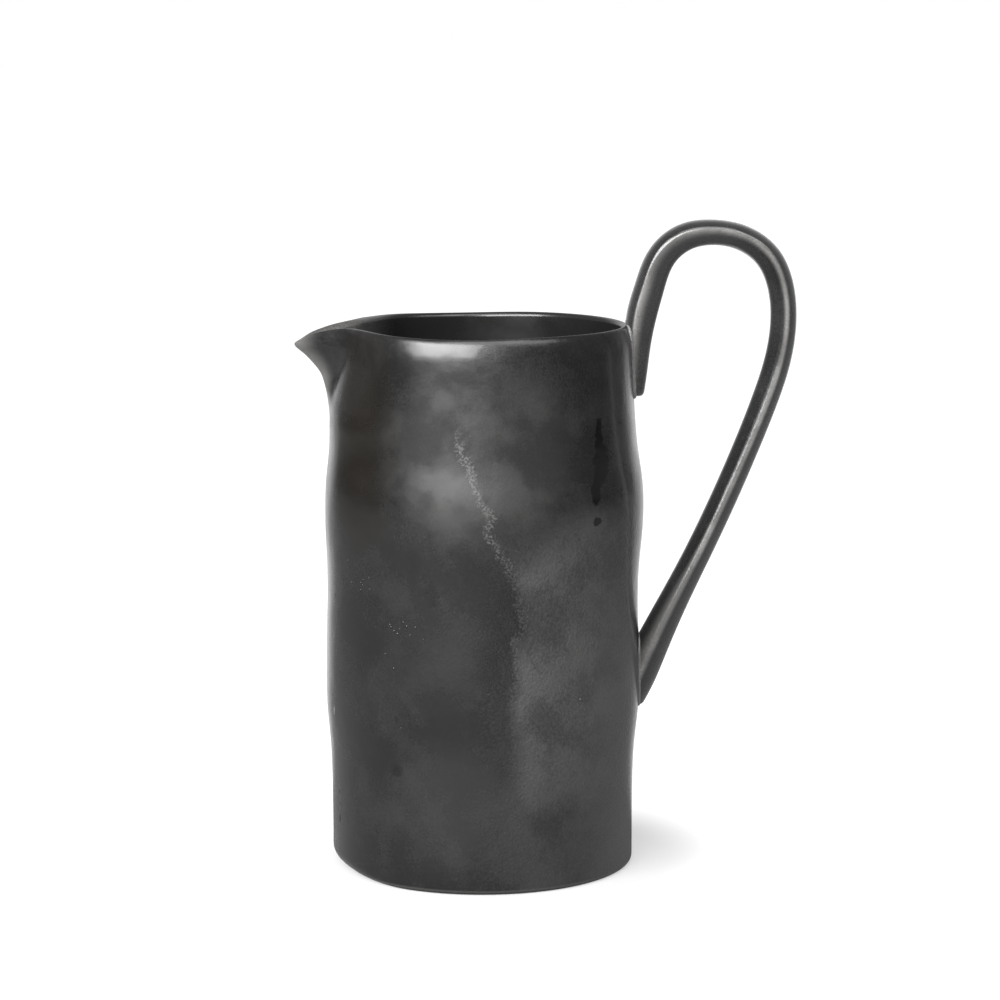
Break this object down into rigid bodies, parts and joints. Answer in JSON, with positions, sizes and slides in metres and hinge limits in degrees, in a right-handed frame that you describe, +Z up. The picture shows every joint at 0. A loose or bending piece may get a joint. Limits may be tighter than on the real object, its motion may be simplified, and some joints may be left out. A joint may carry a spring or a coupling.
{
  "type": "pouring jug",
  "caption": "Tall cylindrical ceramic pouring jug with a pinched, drooping beak at the rim and a high looped handle opposite it.",
  "frame": {"origin": "centre of the foot ring's flat face on the table", "axes": "+Z up along the body, +X towards the handle, -X towards the beak of the spout, +Y across the jug"},
  "size_m": [0.1898, 0.1206, 0.2451],
  "materials": {
    "dark_glaze": "satin charcoal glaze with a cloudy, slightly pitted surface",
    "handle_glaze": "satin charcoal glaze, thinner along the ridges"
  },
  "bodies": {
    "root": {"body_wall": "dark_glaze", "base": "dark_glaze", "spout": "dark_glaze", "handle": "handle_glaze", "upper_joint": "handle_glaze", "lower_joint": "handle_glaze"}
  },
  "joints": []
}
